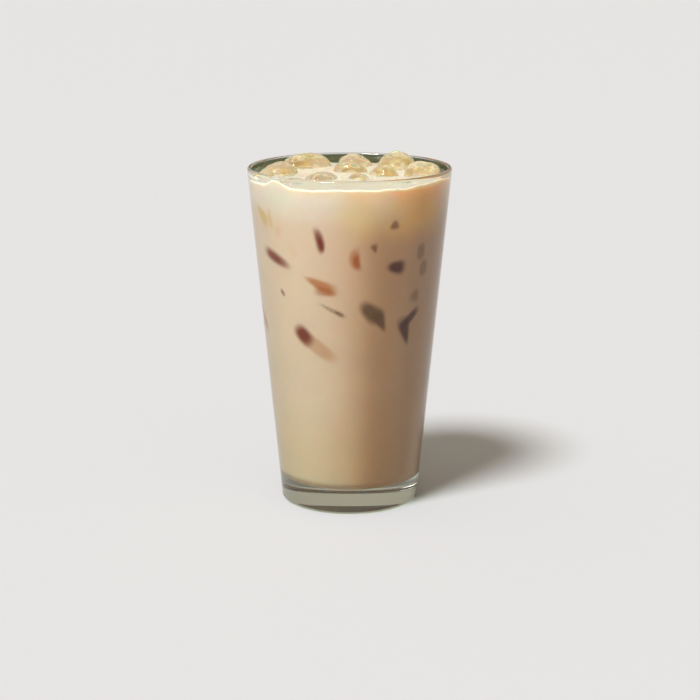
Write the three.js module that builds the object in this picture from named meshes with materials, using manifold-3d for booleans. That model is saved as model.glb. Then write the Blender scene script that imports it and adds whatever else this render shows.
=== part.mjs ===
// An iced chai latte in a straight-sided 16 oz mixing glass, filled nearly to the brim, with
// melting ice cubes standing out of the drink.
//
// Millimetres, +Z up. The origin is the centre of the glass's foot, on the surface that it stands
// on, and -Y is the front.

import * as THREE from "three";
import { mergeVertices } from "three/addons/utils/BufferGeometryUtils.js";
import Module from "manifold-3d";

const wasm = await Module();
wasm.setup();

// Driving dimensions of the glass
const GLASS_HEIGHT = 149;
const FOOT_RADIUS = 30.4;
const RIM_RADIUS = 44.45;
const RIM_WALL = 2.3;
const FOOT_WALL = 3.2;
const FLOOR_HEIGHT = 11; // the thick base, up to the inside floor
const FLOOR_FILLET = 4;
const HEEL_RADIUS = 1.8;
const PUNT_RADIUS = 26.5; // the shallow hollow under the foot
const PUNT_DEPTH = 1.1;

// Driving dimensions of the drink
const DRINK_LEVEL = 144.1;
const GAP = 0.3; // between the drink and what it touches
const WALL_CLIMB_REACH = 2.2; // how far from the glass the creeping froth dies away
const ICE_CLIMB_REACH = 3.2; // how far from the ice it does
const FROTH_WAVE = 0.12;

// How high the froth creeps up the glass: a little all round, and more at these headings. spread
// is the angle over which the extra height falls away.
const WALL_CLIMB = 0.35;
const WALL_CLIMBS = [
  { heading: -90, height: 0.7, spread: 42 },
  { heading: -137, height: 2.2, spread: 8 },
  { heading: -30, height: 2.0, spread: 20 },
];

// Fineness of the faceted surfaces
const TURN_SEGMENTS = 80;
const SURFACE_RINGS = 12;
const ICE_DETAIL = 3;

// The ice cubes that stand out of the drink. at is the middle of the cube seen from above, top the
// height of its highest point, size its width, depth and height before melting rounded it, tip its
// lean about X, its roll about Y and its heading about Z, and climb how far the froth rises on it.
const ICE = [
  { name: "left", at: [-31, 1.2], top: 150.4, size: [18, 17, 19], tip: [8, -14, 8], climb: 1.6 },
  { name: "back_left", at: [-19.2, 21.4], top: 151.5, size: [24, 17, 21], tip: [-10, 5, 22], climb: 1.7 },
  { name: "back", at: [1.9, 26.3], top: 150.5, size: [16.5, 15, 18], tip: [12, 10, 4], climb: 1.6 },
  { name: "back_right", at: [20.1, 20.4], top: 152.3, size: [19, 17, 22], tip: [12, 5, 58], climb: 1.8 },
  { name: "right", at: [31.2, -1.2], top: 151.4, size: [16, 16, 19], tip: [6, 10, 80], climb: 1.7 },
  { name: "centre", at: [0.7, 9.4], top: 150.1, size: [17, 14, 18], tip: [-6, 8, 6], climb: 1.3 },
  { name: "middle", at: [14.9, 0.3], top: 149.2, size: [12, 13, 16], tip: [-16, 10, 30], climb: 1.1 },
  { name: "centre_left", at: [-11.2, -9], top: 147.9, size: [18, 17, 18], tip: [18, 14, 33], climb: 0.9 },
  { name: "centre_right", at: [4.4, -7], top: 146.9, size: [10, 12, 13], tip: [8, -12, 20], climb: 0.7 },
  { name: "front_left", at: [-23.9, -22.7], top: 147.3, size: [14, 14, 17], tip: [9, -8, 45], climb: 0.8 },
  { name: "front_right", at: [20.4, -21.6], top: 146.6, size: [17, 15, 17], tip: [-8, 14, 36], climb: 0.7 },
];
const ICE_SQUARENESS = 2.6; // 2 is a ball, and higher is nearer to a box
const MELT_RIPPLE = 0.028; // share of the radius by which melting has waved each face

// A repeatable stream of numbers from 0 to 1.
function randomStream(seed) {
  let state = seed >>> 0;
  return () => {
    state = (state + 0x6d2b79f5) >>> 0;
    let t = state;
    t = Math.imul(t ^ (t >>> 15), t | 1);
    t ^= t + Math.imul(t ^ (t >>> 7), t | 61);
    return ((t ^ (t >>> 14)) >>> 0) / 4294967296;
  };
}

// Radius of the outside of the glass at a height.
function outerRadius(z) {
  return FOOT_RADIUS + ((RIM_RADIUS - FOOT_RADIUS) * z) / GLASS_HEIGHT;
}

// Radius of the inside of the glass at a height: the wall thins towards the rim.
function innerRadius(z) {
  const share = (z - FLOOR_HEIGHT) / (GLASS_HEIGHT - FLOOR_HEIGHT);
  return outerRadius(z) - FOOT_WALL - (RIM_WALL - FOOT_WALL) * share;
}

// Points along an arc, from one angle to another in degrees, ends included.
function arcPoints(cx, cy, radius, from, to, steps) {
  return Array.from({ length: steps + 1 }, (_, i) => {
    const a = THREE.MathUtils.degToRad(from + ((to - from) * i) / steps);
    return new THREE.Vector2(cx + radius * Math.cos(a), cy + radius * Math.sin(a));
  });
}

// The inside floor, its fillet and the foot of the inside wall, moved inwards by a gap.
function floorAndFillet(gap) {
  const floor = FLOOR_HEIGHT + gap;
  const centreZ = floor + FLOOR_FILLET;
  const centreR = innerRadius(centreZ) - gap - FLOOR_FILLET;
  return [new THREE.Vector2(0, floor), ...arcPoints(centreR, centreZ, FLOOR_FILLET, -90, 0, 4)];
}

// Turns a closed profile of radius and height about the upright axis.
function turned(profile) {
  const geometry = new THREE.LatheGeometry(profile, TURN_SEGMENTS);
  geometry.rotateX(Math.PI / 2);
  return geometry;
}

// The tumbler: punt, heel, straight outer wall, round rim, inner wall and thick floor.
function glassGeometry() {
  const rimRadius = RIM_WALL / 2;
  const rimCentreR = RIM_RADIUS - rimRadius;
  const profile = [
    new THREE.Vector2(0, PUNT_DEPTH),
    new THREE.Vector2(PUNT_RADIUS * 0.7, PUNT_DEPTH * 0.7),
    new THREE.Vector2(PUNT_RADIUS, 0),
    ...arcPoints(FOOT_RADIUS - HEEL_RADIUS, HEEL_RADIUS, HEEL_RADIUS, -90, 0, 3),
    ...arcPoints(rimCentreR, GLASS_HEIGHT - rimRadius, rimRadius, 0, 180, 6),
    ...floorAndFillet(0).reverse(),
  ];
  return turned(profile);
}

// Half the size of an ice cube in a direction, as a rounded box whose faces melting has waved.
function iceRadius(direction, halfSize, waves) {
  const terms = ["x", "y", "z"].map((axis, i) => Math.abs(direction[axis] / halfSize[i]) ** ICE_SQUARENESS);
  const box = (terms[0] + terms[1] + terms[2]) ** (-1 / ICE_SQUARENESS);
  const ripple = waves.reduce((sum, wave) => sum + Math.sin(direction.dot(wave.along) + wave.phase), 0);
  return box * (1 + MELT_RIPPLE * ripple);
}

// An ice cube in place, grown outwards by a margin, as a geometry of shared vertices.
function iceGeometry(cube, index, grow) {
  const draw = randomStream(17 + 101 * index);
  const waves = [2.6, 3.4, 4.5].map((pace) => ({
    along: new THREE.Vector3(draw() - 0.5, draw() - 0.5, draw() - 0.5).normalize().multiplyScalar(pace),
    phase: draw() * Math.PI * 2,
  }));
  const halfSize = cube.size.map((length) => length / 2);
  const geometry = sharedVertices(new THREE.IcosahedronGeometry(1, ICE_DETAIL));
  const position = geometry.getAttribute("position");
  const tip = new THREE.Euler(...cube.tip.map(THREE.MathUtils.degToRad), "ZYX");
  const vertex = new THREE.Vector3();
  let highest = -Infinity;
  for (let i = 0; i < position.count; i++) {
    vertex.fromBufferAttribute(position, i).normalize();
    const radius = iceRadius(vertex, halfSize, waves);
    const bare = vertex.clone().multiplyScalar(radius).applyEuler(tip);
    highest = Math.max(highest, bare.z);
    vertex.multiplyScalar(radius + grow).applyEuler(tip);
    position.setXYZ(i, vertex.x, vertex.y, vertex.z);
  }
  geometry.translate(...cube.at, cube.top - highest);
  return geometry;
}

// How high the froth creeps up the glass at a heading in degrees.
function wallClimb(heading) {
  return WALL_CLIMBS.reduce((climb, extra) => {
    const off = ((heading - extra.heading + 540) % 360) - 180;
    return climb + extra.height * Math.exp(-((off / extra.spread) ** 2));
  }, WALL_CLIMB);
}

// How high the froth stands at a point of the drink's surface: it creeps up the glass and the ice.
function surfaceHeight(x, y) {
  const fromWall = Math.max(0, innerRadius(DRINK_LEVEL) - GAP - Math.hypot(x, y));
  const heading = THREE.MathUtils.radToDeg(Math.atan2(y, x));
  let climb = wallClimb(heading) * Math.exp(-fromWall / WALL_CLIMB_REACH);
  for (const cube of ICE) {
    const fromIce = Math.max(0, Math.hypot(x - cube.at[0], y - cube.at[1]) - 0.46 * cube.size[0]);
    climb = Math.max(climb, cube.climb * Math.exp(-fromIce / ICE_CLIMB_REACH));
  }
  const wave = FROTH_WAVE * (Math.sin(0.31 * x + 0.9) * Math.cos(0.27 * y) + Math.sin(0.17 * x - 0.23 * y));
  return DRINK_LEVEL + climb + wave;
}

// The drink before the ice is cut out of it: it fills the glass up to its wavy surface.
function drinkGeometry() {
  const wallAtLevel = innerRadius(DRINK_LEVEL) - GAP;
  const rings = Array.from({ length: SURFACE_RINGS + 1 }, (_, i) => 1 - (i / SURFACE_RINGS) ** 1.5);
  const profile = [
    ...floorAndFillet(GAP),
    ...rings.map((share) => new THREE.Vector2(wallAtLevel * share, DRINK_LEVEL)),
  ];
  const geometry = turned(profile);
  const position = geometry.getAttribute("position");
  for (let i = 0; i < position.count; i++) {
    const [x, y, z] = [position.getX(i), position.getY(i), position.getZ(i)];
    if (Math.abs(z - DRINK_LEVEL) > 1e-3) continue;
    const height = surfaceHeight(x, y);
    const radius = Math.hypot(x, y);
    const atWall = radius > wallAtLevel - 1e-3;
    const spread = atWall ? (innerRadius(height) - GAP) / radius : 1;
    position.setXYZ(i, x * spread, y * spread, height);
  }
  return geometry;
}

// The same surface with each vertex held once, so that it can be cut and joined.
function sharedVertices(geometry) {
  const plain = geometry.index ? geometry.toNonIndexed() : geometry.clone();
  plain.deleteAttribute("normal");
  plain.deleteAttribute("uv");
  return mergeVertices(plain, 1e-3);
}

function solidOf(geometry) {
  const merged = sharedVertices(geometry);
  const vertProperties = merged.getAttribute("position").array;
  const triVerts = new Uint32Array(merged.index.array);
  return new wasm.Manifold(new wasm.Mesh({ numProp: 3, vertProperties, triVerts }));
}

function geometryOf(solid) {
  const mesh = solid.getMesh();
  const geometry = new THREE.BufferGeometry();
  geometry.setAttribute("position", new THREE.BufferAttribute(new Float32Array(mesh.vertProperties), 3));
  geometry.setIndex(new THREE.BufferAttribute(new Uint32Array(mesh.triVerts), 1));
  geometry.computeVertexNormals();
  return geometry;
}

// The drink with a pocket for each ice cube.
function pocketedDrink() {
  return ICE.reduce(
    (drink, cube, index) => drink.subtract(solidOf(iceGeometry(cube, index, GAP))),
    solidOf(drinkGeometry()),
  );
}

const clearGlass = new THREE.MeshStandardMaterial({
  color: 0xe9efe9,
  roughness: 0.03,
  metalness: 0,
  transparent: true,
  opacity: 0.3,
});
const milkyTea = new THREE.MeshStandardMaterial({ color: 0xd3b491, roughness: 0.3, metalness: 0 });
const meltingIce = new THREE.MeshStandardMaterial({
  color: 0xe6dcb9,
  roughness: 0.08,
  metalness: 0,
  transparent: true,
  opacity: 0.75,
});

function named(name, geometry, material) {
  const mesh = new THREE.Mesh(geometry, material);
  mesh.name = name;
  return mesh;
}

const latte = new THREE.Group();
latte.name = "iced_chai_latte";
latte.add(named("glass", glassGeometry(), clearGlass));
latte.add(named("drink", geometryOf(pocketedDrink()), milkyTea));
ICE.forEach((cube, index) => latte.add(named(`ice_${cube.name}`, iceGeometry(cube, index, 0), meltingIce)));

export default latte;
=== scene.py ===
import logging
import math
import random
from dataclasses import dataclass, field
from enum import Enum

import bmesh
import bpy
import numpy as np
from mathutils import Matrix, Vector, noise


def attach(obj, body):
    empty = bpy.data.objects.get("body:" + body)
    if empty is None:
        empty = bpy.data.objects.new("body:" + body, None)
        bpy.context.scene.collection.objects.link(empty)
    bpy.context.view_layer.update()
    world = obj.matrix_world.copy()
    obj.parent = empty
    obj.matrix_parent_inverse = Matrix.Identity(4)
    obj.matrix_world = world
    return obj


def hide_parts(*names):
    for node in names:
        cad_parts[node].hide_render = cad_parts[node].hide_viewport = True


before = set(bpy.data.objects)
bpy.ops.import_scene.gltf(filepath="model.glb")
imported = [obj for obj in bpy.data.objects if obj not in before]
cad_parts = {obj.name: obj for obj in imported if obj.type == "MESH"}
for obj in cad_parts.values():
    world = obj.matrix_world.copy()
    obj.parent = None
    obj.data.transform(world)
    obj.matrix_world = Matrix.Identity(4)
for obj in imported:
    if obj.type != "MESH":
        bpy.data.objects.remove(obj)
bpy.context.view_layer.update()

# An iced chai latte in a straight-sided mixing glass, dressed around its fixed solids. Sizes are
# in millimetres until a mesh is made, and headings are degrees about the upright axis, with -90
# at the front.

MM = 0.001
LOG = logging.getLogger("iced_chai_latte")

# Each seed moves the noise by this much along x, y and z, so that no two cubes melt alike.
SEED_SHIFT = np.array([3.1, 1.7, 0.0])


def linear(hex_colour: str) -> tuple[float, float, float, float]:
    """Turns an sRGB hex colour into the linear colour that a shader takes.

    Args:
        hex_colour: Six hex digits after a hash sign.

    Returns:
        Linear red, green and blue, and an alpha of 1.
    """
    channels = [int(hex_colour[i : i + 2], 16) / 255 for i in (1, 3, 5)]
    return (*(c / 12.92 if c <= 0.04045 else ((c + 0.055) / 1.055) ** 2.4 for c in channels), 1.0)


def colour_row(hex_colour: str) -> np.ndarray:
    """Returns an sRGB hex colour as a linear row of red, green, blue and alpha."""
    return np.array(linear(hex_colour))


def add_node(
    tree: bpy.types.NodeTree, kind: str, inputs: dict | None = None, **settings: object
) -> bpy.types.Node:
    """Adds a node with its settings, values and links.

    Args:
        tree: The shader or geometry tree that gets the node.
        kind: The node's type, such as "ShaderNodeMix".
        inputs: Socket names or numbers, each with a value or with the socket that feeds it.
        settings: Properties of the node itself.

    Returns:
        The new node.
    """
    node = tree.nodes.new(kind)
    for name, value in settings.items():
        setattr(node, name, value)
    for key, value in (inputs or {}).items():
        if isinstance(value, bpy.types.NodeSocket):
            tree.links.new(value, node.inputs[key])
        else:
            node.inputs[key].default_value = value
    return node


def new_material(name: str) -> tuple[bpy.types.Material, bpy.types.NodeTree]:
    """Makes a material with an empty node tree and returns both."""
    material = bpy.data.materials.new(name)
    material.use_nodes = True
    material.node_tree.nodes.clear()
    return material, material.node_tree


def place_mesh(name: str, mesh: bpy.types.Mesh) -> bpy.types.Object:
    """Puts a mesh in the scene as an object at the origin and returns the object."""
    piece = bpy.data.objects.new(name, mesh)
    bpy.context.scene.collection.objects.link(piece)
    return piece


def freeze(piece: bpy.types.Object) -> None:
    """Turns a piece's modifiers into its plain mesh and takes them off."""
    depsgraph = bpy.context.evaluated_depsgraph_get()
    finished = bpy.data.meshes.new_from_object(piece.evaluated_get(depsgraph))
    piece.modifiers.clear()
    plain = piece.data
    piece.data = finished
    bpy.data.meshes.remove(plain)


def paint(mesh: bpy.types.Mesh, name: str, kind: str, values: np.ndarray) -> None:
    """Stores one value per vertex as a named attribute.

    Args:
        mesh: The mesh that gets the attribute.
        name: The attribute's name, as the material reads it.
        kind: "FLOAT" or "FLOAT_COLOR".
        values: One number, or one colour with alpha, for each vertex.
    """
    attribute = mesh.attributes.new(name, kind, "POINT")
    attribute.data.foreach_set("value" if kind == "FLOAT" else "color", values.astype(np.float32).ravel())


def vertices_of(mesh: bpy.types.Mesh) -> np.ndarray:
    """Returns a mesh's vertices in millimetres, one row each."""
    flat = np.empty(len(mesh.vertices) * 3)
    mesh.vertices.foreach_get("co", flat)
    return flat.reshape(-1, 3) / MM


def smoothstep(low: float, high: float, value: np.ndarray) -> np.ndarray:
    """Rises smoothly from 0 at low to 1 at high."""
    share = np.clip((value - low) / (high - low), 0, 1)
    return share * share * (3 - 2 * share)


def mixed(base: np.ndarray, other: np.ndarray, share: np.ndarray) -> np.ndarray:
    """Mixes colours, with one share of the other colour for each point."""
    return base * (1 - share[:, None]) + other * share[:, None]


def near(value: np.ndarray, middle: float, spread: float) -> np.ndarray:
    """Falls from 1 at the middle to nothing well beyond the spread."""
    return np.exp(-(((value - middle) / spread) ** 2))


def turned_from(heading: np.ndarray, middle: float) -> np.ndarray:
    """How far headings lie from a middle one, the short way round, in degrees."""
    return (heading - middle + 540) % 360 - 180


def noise_at(points: np.ndarray, size: float, stretch: float = 1.0) -> np.ndarray:
    """Smooth noise at points.

    Args:
        points: One row of x, y and z for each point.
        size: Size of the noise's lumps.
        stretch: How much flatter than wide the lumps are.

    Returns:
        One number for each point, mostly from -1 to 1.
    """
    scaled = (Vector((x, y, z * stretch)) / size for x, y, z in points)
    return np.array([noise.noise(spot) for spot in scaled])


def arc(
    centre: tuple[float, float], radius: float, start: float, end: float, steps: int
) -> list[tuple[float, float]]:
    """Points along an arc of a profile, ends included.

    Args:
        centre: Radius and height of the arc's centre.
        radius: The arc's own radius.
        start: First angle in degrees.
        end: Last angle in degrees.
        steps: How many steps the arc takes.

    Returns:
        Pairs of radius and height.
    """
    angles = (math.radians(start + (end - start) * i / steps) for i in range(steps + 1))
    return [(centre[0] + radius * math.cos(a), centre[1] + radius * math.sin(a)) for a in angles]


class IceTone(Enum):
    """Colours of sunk ice where it lies against the glass: the clearer it is, the deeper the tea shows, and
    the darkness of that depth is painted shade.
    """

    STRAW = "#CDB068"
    TAN = "#D6B68A"
    APRICOT = "#B97840"
    ORANGE = "#A8560A"
    BROWN = "#7C3606"
    RUST = "#7A2000"
    SEPIA = "#5C1A00"
    OLIVE = "#6A4412"
    UMBER = "#5E2600"


@dataclass(frozen=True)
class TemperedGlass:
    """Pressed and tempered soda-lime glass, nearly colourless, wetted inside by the drink.

    Attributes:
        clear: Colour of the thin wall, seen square on.
        edge_tint_and_painted_shade: Colour of the wall seen along its length: partly the longer path of
            light through the glass, partly painted shade.
        heavy: Colour of the thick base.
        film_and_painted_shade: Colour of the dark band painted as shade on the back of the inner wall above
            the drink.
        roughness: Polish of the pressed surface.
        ior: Refractive index of soda-lime glass.
        edge_shade_blend: How soon the wall counts as seen along its length.
    """

    clear: str = "#F8FAF7"
    edge_tint_and_painted_shade: str = "#7F846C"
    heavy: str = "#DDE6DC"
    film_and_painted_shade: str = "#23270F"
    roughness: float = 0.01
    ior: float = 1.5
    edge_shade_blend: float = 0.15

    def material(self) -> bpy.types.Material:
        """Clear, heavy and slightly cool, with darker thin lines at its edges, partly from the longer path
        through the glass and partly painted shade. Lamps shine through it.
        """
        material, tree = new_material("tempered_soda_lime_glass")
        tint_and_painted_shade = add_node(tree, "ShaderNodeAttribute", attribute_name="tint_and_painted_shade")
        # Darker where the wall is seen along its length: partly the glass's own tint over a longer path,
        # partly painted shade.
        grazing = add_node(tree, "ShaderNodeLayerWeight", {"Blend": self.edge_shade_blend})
        shade = add_node(
            tree,
            "ShaderNodeMix",
            {"Factor": grazing.outputs["Facing"], "A": tint_and_painted_shade.outputs["Color"], "B": linear(self.edge_tint_and_painted_shade)},
            data_type="RGBA",
            blend_type="MULTIPLY",
        )
        glass = add_node(
            tree,
            "ShaderNodeBsdfPrincipled",
            {
                "Base Color": shade.outputs["Result"],
                "Roughness": self.roughness,
                "IOR": self.ior,
                "Transmission Weight": 1.0,
            },
        )
        passing = add_node(tree, "ShaderNodeBsdfTransparent", {"Color": tint_and_painted_shade.outputs["Color"]})
        lamp = add_node(tree, "ShaderNodeLightPath")
        both = add_node(
            tree,
            "ShaderNodeMixShader",
            {0: lamp.outputs["Is Shadow Ray"], 1: glass.outputs["BSDF"], 2: passing.outputs["BSDF"]},
        )
        add_node(tree, "ShaderNodeOutputMaterial", {"Surface": both.outputs["Shader"]})
        return material


@dataclass(frozen=True)
class MilkyTea:
    """Spiced black tea shaken with milk: opaque, soft and a little see-through at the surface.

    Attributes:
        mottle_size: Size of the faint clouds of unmixed milk, in millimetres.
        mottle_depth: How far the clouds lighten or darken the drink.
        froth: Colour of the fine froth along the contact lines.
        scatter: How far light wanders under the surface, in millimetres.
        roughness: How satin the surface is.
        gloss: How strongly it mirrors, as a share of twice the usual.
        ior: Refractive index of milky tea.
        bubble_size: Size of the finest froth's cells, in millimetres.
        bubble_relief: How far those cells stand out, in millimetres.
    """

    mottle_size: float = 14.0
    mottle_depth: float = 0.05
    froth: str = "#DACFB8"
    scatter: float = 7.0
    roughness: float = 0.32
    gloss: float = 0.15
    ior: float = 1.35
    bubble_size: float = 1.1
    bubble_relief: float = 0.3

    def material(self) -> bpy.types.Material:
        """A satin, creamy liquid with soft-edged shading and slightly glossy froth."""
        material, tree = new_material("milky_spiced_tea")
        place = add_node(tree, "ShaderNodeTexCoord")
        brew_and_painted_light = add_node(tree, "ShaderNodeAttribute", attribute_name="brew_and_painted_light")
        froth = add_node(tree, "ShaderNodeAttribute", attribute_name="froth")
        clouds = add_node(
            tree,
            "ShaderNodeTexNoise",
            {"Vector": place.outputs["Object"], "Scale": 1 / (self.mottle_size * MM), "Detail": 3.0},
        )
        strength = add_node(
            tree,
            "ShaderNodeMapRange",
            {
                "Value": clouds.outputs["Fac"],
                "To Min": 1 - self.mottle_depth,
                "To Max": 1 + self.mottle_depth,
            },
        )
        mottled = add_node(
            tree,
            "ShaderNodeVectorMath",
            {0: brew_and_painted_light.outputs["Color"], "Scale": strength.outputs["Result"]},
            operation="SCALE",
        )
        colour = add_node(
            tree,
            "ShaderNodeMix",
            {"Factor": froth.outputs["Fac"], "A": mottled.outputs["Vector"], "B": linear(self.froth)},
            data_type="RGBA",
        )
        bubbles = add_node(
            tree,
            "ShaderNodeTexVoronoi",
            {"Vector": place.outputs["Object"], "Scale": 1 / (self.bubble_size * MM)},
        )
        relief = add_node(
            tree,
            "ShaderNodeBump",
            {
                "Height": bubbles.outputs["Distance"],
                "Strength": 0.12,
                "Distance": self.bubble_relief * MM,
            },
        )
        tea = add_node(
            tree,
            "ShaderNodeBsdfPrincipled",
            {
                "Base Color": colour.outputs["Result"],
                "Roughness": self.roughness,
                "IOR": self.ior,
                "Specular IOR Level": self.gloss,
                "Subsurface Weight": 0.9,
                "Subsurface Scale": self.scatter * MM,
                "Subsurface Radius": (1.0, 0.5, 0.25),
                "Normal": relief.outputs["Normal"],
            },
        )
        add_node(tree, "ShaderNodeOutputMaterial", {"Surface": tea.outputs["BSDF"]})
        return material


@dataclass(frozen=True)
class MilkFilmedIce:
    """Melting cube ice, clear at heart, wet and veiled by a thin film of milky tea.

    Attributes:
        clear: Colour of the clean parts of the ice.
        stain: Colour where tea pools against the ice.
        film_and_painted_shade: Colour of the milk film.
        level: Height of the drink, in millimetres.
        veil_height: How far above the drink the milk film reaches, in millimetres.
        ior: Refractive index of ice.
        film_ior: Refractive index of the milk film.
        pool_size: Size of the stained patches, in millimetres.
        facet_size: Size of the melted facets, in millimetres.
        facet_relief: How far the facets stand out, in millimetres.
        crack_spacing: How far apart the pale cracks lie, in millimetres.
        painted_rim_highlight_blend: How wide the pale rims painted as highlight are.
    """

    clear: str = "#F5F4E6"
    stain: str = "#DACC8C"
    film_and_painted_shade: str = "#DAD6C2"
    level: float = 144.1
    veil_height: float = 4.5
    ior: float = 1.31
    film_ior: float = 1.35
    pool_size: float = 8.0
    facet_size: float = 7.0
    facet_relief: float = 1.3
    crack_spacing: float = 11.0
    painted_rim_highlight_blend: float = 0.17

    def material(self) -> bpy.types.Material:
        """Glossy and mostly clear, straw-yellow in its depth, pale at its cracks and waterline, with a pale
        highlight painted along its rims.
        """
        material, tree = new_material("milk_filmed_ice")
        place = add_node(tree, "ShaderNodeTexCoord").outputs["Object"]
        pools = add_node(
            tree,
            "ShaderNodeTexNoise",
            {"Vector": place, "Scale": 1 / (self.pool_size * MM), "Detail": 1.0},
        )
        pooled = add_node(
            tree,
            "ShaderNodeMapRange",
            {"Value": pools.outputs["Fac"], "From Min": 0.45, "From Max": 0.66},
            interpolation_type="SMOOTHSTEP",
        )
        body = add_node(
            tree,
            "ShaderNodeMix",
            {"Factor": pooled.outputs["Result"], "A": linear(self.clear), "B": linear(self.stain)},
            data_type="RGBA",
        ).outputs["Result"]
        facets = add_node(
            tree,
            "ShaderNodeTexVoronoi",
            {"Vector": place, "Scale": 1 / (self.facet_size * MM), "Smoothness": 0.2},
            feature="SMOOTH_F1",
        )
        melted = add_node(
            tree,
            "ShaderNodeBump",
            {"Height": facets.outputs["Distance"], "Strength": 0.35, "Distance": self.facet_relief * MM},
        ).outputs["Normal"]
        ice = add_node(
            tree,
            "ShaderNodeBsdfPrincipled",
            {
                "Base Color": body,
                "Roughness": 0.03,
                "IOR": self.ior,
                "Transmission Weight": 0.94,
                "Normal": melted,
            },
        )
        milk = add_node(
            tree,
            "ShaderNodeBsdfPrincipled",
            {"Base Color": linear(self.film_and_painted_shade), "Roughness": 0.15, "IOR": self.film_ior, "Normal": melted},
        )
        swirls = add_node(
            tree,
            "ShaderNodeTexNoise",
            {"Vector": place, "Scale": 1 / (self.crack_spacing * MM), "Detail": 1.0, "Distortion": 1.6},
        ).outputs["Fac"]
        lines = add_node(tree, "ShaderNodeMath", {0: swirls, 1: 0.5, 2: 0.01}, operation="COMPARE")
        cracks = add_node(tree, "ShaderNodeMath", {0: lines.outputs["Value"], 1: 0.5}, operation="MULTIPLY")
        height = add_node(tree, "ShaderNodeSeparateXYZ", {"Vector": place}).outputs["Z"]
        waterline = add_node(
            tree,
            "ShaderNodeMapRange",
            {
                "Value": height,
                "From Min": (self.level + 0.8) * MM,
                "From Max": (self.level + self.veil_height) * MM,
                "To Min": 0.6,
                "To Max": 0.0,
            },
        ).outputs["Result"]
        swirled = add_node(
            tree,
            "ShaderNodeMapRange",
            {"Value": swirls, "From Min": 0.3, "From Max": 0.6},
            interpolation_type="SMOOTHSTEP",
        ).outputs["Result"]
        veil = add_node(tree, "ShaderNodeMath", {0: waterline, 1: swirled}, operation="MULTIPLY")
        # Painted highlight: the rims turn pale where the ice is seen at a glancing angle.
        rim = add_node(tree, "ShaderNodeLayerWeight", {"Blend": self.painted_rim_highlight_blend}).outputs["Facing"]
        veil_and_painted_highlight = add_node(tree, "ShaderNodeMath", {0: veil.outputs["Value"], 1: rim}, operation="MAXIMUM")
        cover = add_node(
            tree,
            "ShaderNodeMath",
            {0: veil_and_painted_highlight.outputs["Value"], 1: cracks.outputs["Value"]},
            operation="MAXIMUM",
        )
        surface = add_node(
            tree,
            "ShaderNodeMixShader",
            {0: cover.outputs["Value"], 1: ice.outputs["BSDF"], 2: milk.outputs["BSDF"]},
        )
        passing = add_node(tree, "ShaderNodeBsdfTransparent", {"Color": body})
        lamp = add_node(tree, "ShaderNodeLightPath").outputs["Is Shadow Ray"]
        through = add_node(tree, "ShaderNodeMath", {0: lamp, 1: 0.85}, operation="MULTIPLY")
        both = add_node(
            tree,
            "ShaderNodeMixShader",
            {0: through.outputs["Value"], 1: surface.outputs["Shader"], 2: passing.outputs["BSDF"]},
        )
        add_node(tree, "ShaderNodeOutputMaterial", {"Surface": both.outputs["Shader"]})
        return material


@dataclass(frozen=True)
class FrothBubble:
    """Thin-walled bubbles of milk froth, white and glossy.

    Attributes:
        colour: Colour of the bubble's skin.
    """

    colour: str = "#F7F0DF"

    def material(self) -> bpy.types.Material:
        """Pale wet beads that catch small highlights."""
        material, tree = new_material("milk_froth")
        skin = add_node(
            tree,
            "ShaderNodeBsdfPrincipled",
            {
                "Base Color": linear(self.colour),
                "Roughness": 0.15,
                "IOR": 1.34,
                "Transmission Weight": 0.25,
                "Subsurface Weight": 0.3,
                "Subsurface Scale": 0.5 * MM,
            },
        )
        add_node(tree, "ShaderNodeOutputMaterial", {"Surface": skin.outputs["BSDF"]})
        return material


@dataclass(frozen=True)
class Fade:
    """A gradual change along a range of heights, headings or places.

    Attributes:
        start: Where there is nothing of it.
        end: Where it is complete.
    """

    start: float
    end: float

    def at(self, value: np.ndarray) -> np.ndarray:
        """Returns how far the change has come at each value, from 0 to 1."""
        return smoothstep(self.start, self.end, value)


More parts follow.
